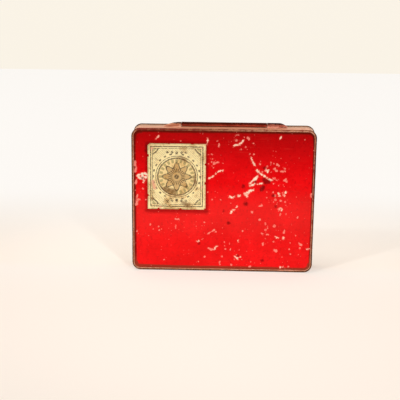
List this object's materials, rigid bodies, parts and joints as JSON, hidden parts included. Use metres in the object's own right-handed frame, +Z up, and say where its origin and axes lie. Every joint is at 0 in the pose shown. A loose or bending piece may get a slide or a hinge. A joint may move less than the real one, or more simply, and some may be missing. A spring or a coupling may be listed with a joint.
{
  "type": "flat hinged tin",
  "caption": "Flat rectangular tinplate box with rolled rims, recessed lid and base panels, a neck collar, a paper label and a long wire hinge along one edge.",
  "frame": {"origin": "middle of the tin's footprint, on the surface that its opening edge stands on", "axes": "+X to the right along the hinge as the lid faces the viewer, +Y from the lid panel to the base panel, +Z up from the standing edge to the hinge"},
  "size_m": [0.142, 0.022, 0.1168],
  "materials": {
    "red_lacquer": "worn glossy red lacquer on tinplate",
    "aged_tinplate": "tarnished, warm tan tinplate",
    "base_tinplate": "tarnished tinplate",
    "inner_tinplate": "dull bright tinplate",
    "hinge_lacquer": "dark red lacquer, rubbed and rusted",
    "hinge_wire": "dull drawn wire",
    "label_paper": "aged printed paper, pasted on"
  },
  "bodies": {
    "body": {"base_panel": "base_tinplate", "body_band": "aged_tinplate", "neck_collar": "inner_tinplate", "body_hinge_leaf": "hinge_lacquer", "hinge_pin": "hinge_wire"},
    "lid": {"lid_band": "aged_tinplate", "lid_panel": "red_lacquer", "lid_knuckle_left": "aged_tinplate", "lid_knuckle_right": "aged_tinplate", "paper_label": "label_paper"}
  },
  "joints": [
    {"name": "lid_hinge", "type": "hinge", "parent": "body", "child": "lid", "pos_m": [0, 0.003, 0.11525], "axis": [-1, 0, 0], "range_deg": [0, 180]}
  ]
}
